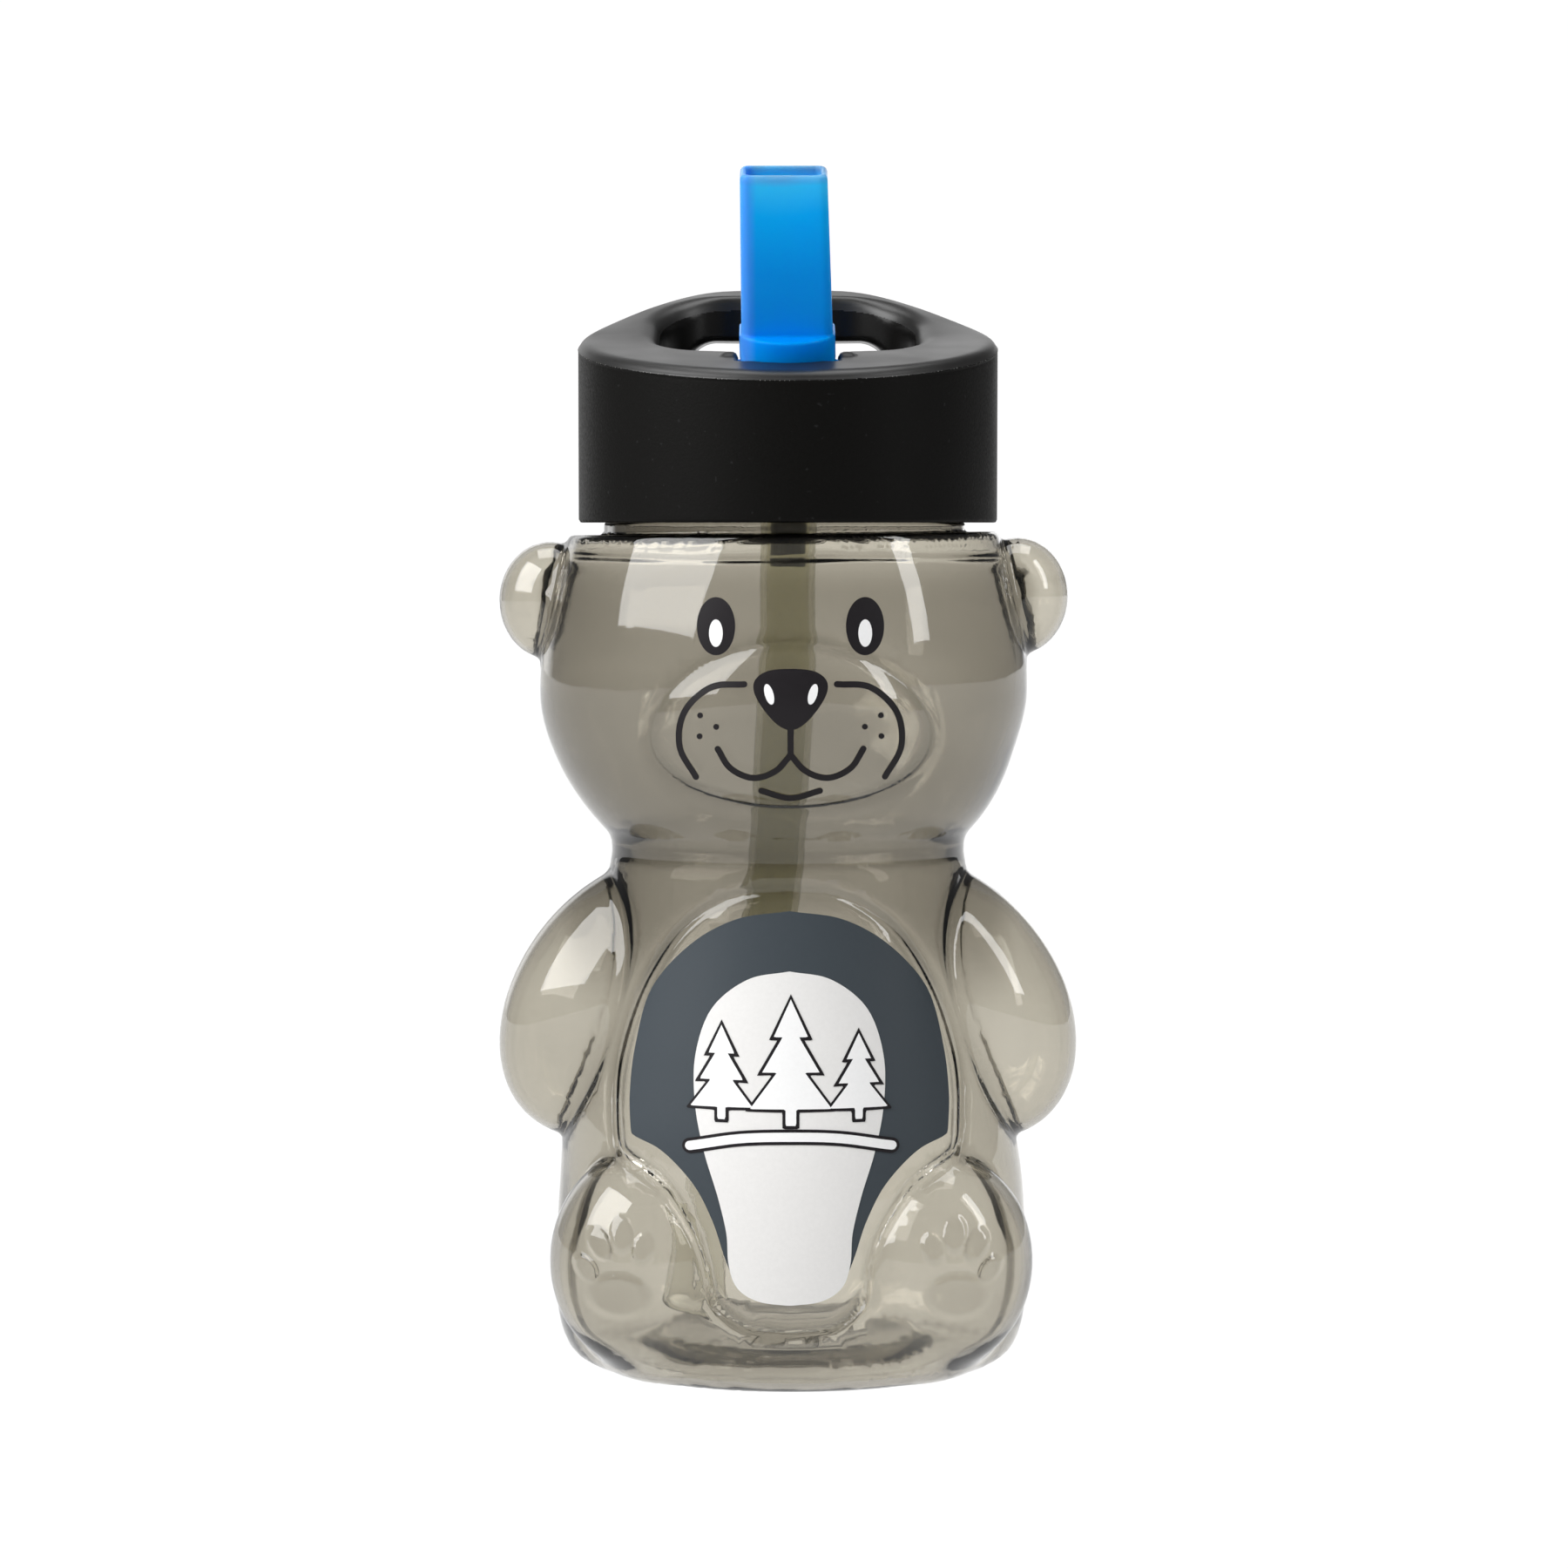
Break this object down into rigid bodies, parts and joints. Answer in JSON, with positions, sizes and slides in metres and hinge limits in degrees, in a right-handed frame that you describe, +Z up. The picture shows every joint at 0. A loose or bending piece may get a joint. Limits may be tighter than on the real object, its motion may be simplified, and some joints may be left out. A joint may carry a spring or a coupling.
{
  "type": "straw bottle",
  "caption": "Bear-shaped translucent plastic drinking bottle with a screw-on lid, carry loop, fold-down spout and drinking straw.",
  "frame": {"origin": "centre of the footprint on the surface the bottle stands on, on the neck's axis", "axes": "+Z up along the neck's axis, -Y towards the face and belly, +X to the right as seen from the front"},
  "size_m": [0.0876, 0.0679, 0.1782],
  "materials": {
    "smoke_bottle": "clear warm-grey smoke plastic, blown, smooth and glossy",
    "black_lid": "black moulded plastic, fine matte texture on the skirt, smoother satin on the top",
    "black_liner": "black moulded plastic, smooth",
    "silicone": "pale translucent silicone, smooth",
    "blue_spout": "translucent azure plastic, smooth",
    "grey_straw": "translucent grey plastic tube"
  },
  "bodies": {
    "bottle": {"bottle_body": "smoke_bottle"},
    "seal": {"lid_gasket": "silicone"},
    "lid": {"lid_shell": "black_lid", "lid_liner": "black_liner", "straw_tube": "grey_straw", "spout_seal": "silicone", "vent_valve": "silicone"},
    "spout": {"flip_spout": "blue_spout"}
  },
  "joints": [
    {"name": "lid_rise", "type": "slide", "parent": "bottle", "child": "seal", "axis": [0, 0, 1], "range_m": [0, 0.0049]},
    {"name": "lid_turn", "type": "hinge", "parent": "seal", "child": "lid", "pos_m": [0, 0, 0.14], "axis": [0, 0, 1], "range_deg": [0, 432]},
    {"name": "spout_flip", "type": "hinge", "parent": "lid", "child": "spout", "pos_m": [0, -0.0155, 0.1492], "axis": [-1, 0, 0], "range_deg": [0, 97]}
  ],
  "couplings": [
    {"joint": "lid_rise", "follows": "lid_turn", "m_per_rad": 0.00063662}
  ]
}
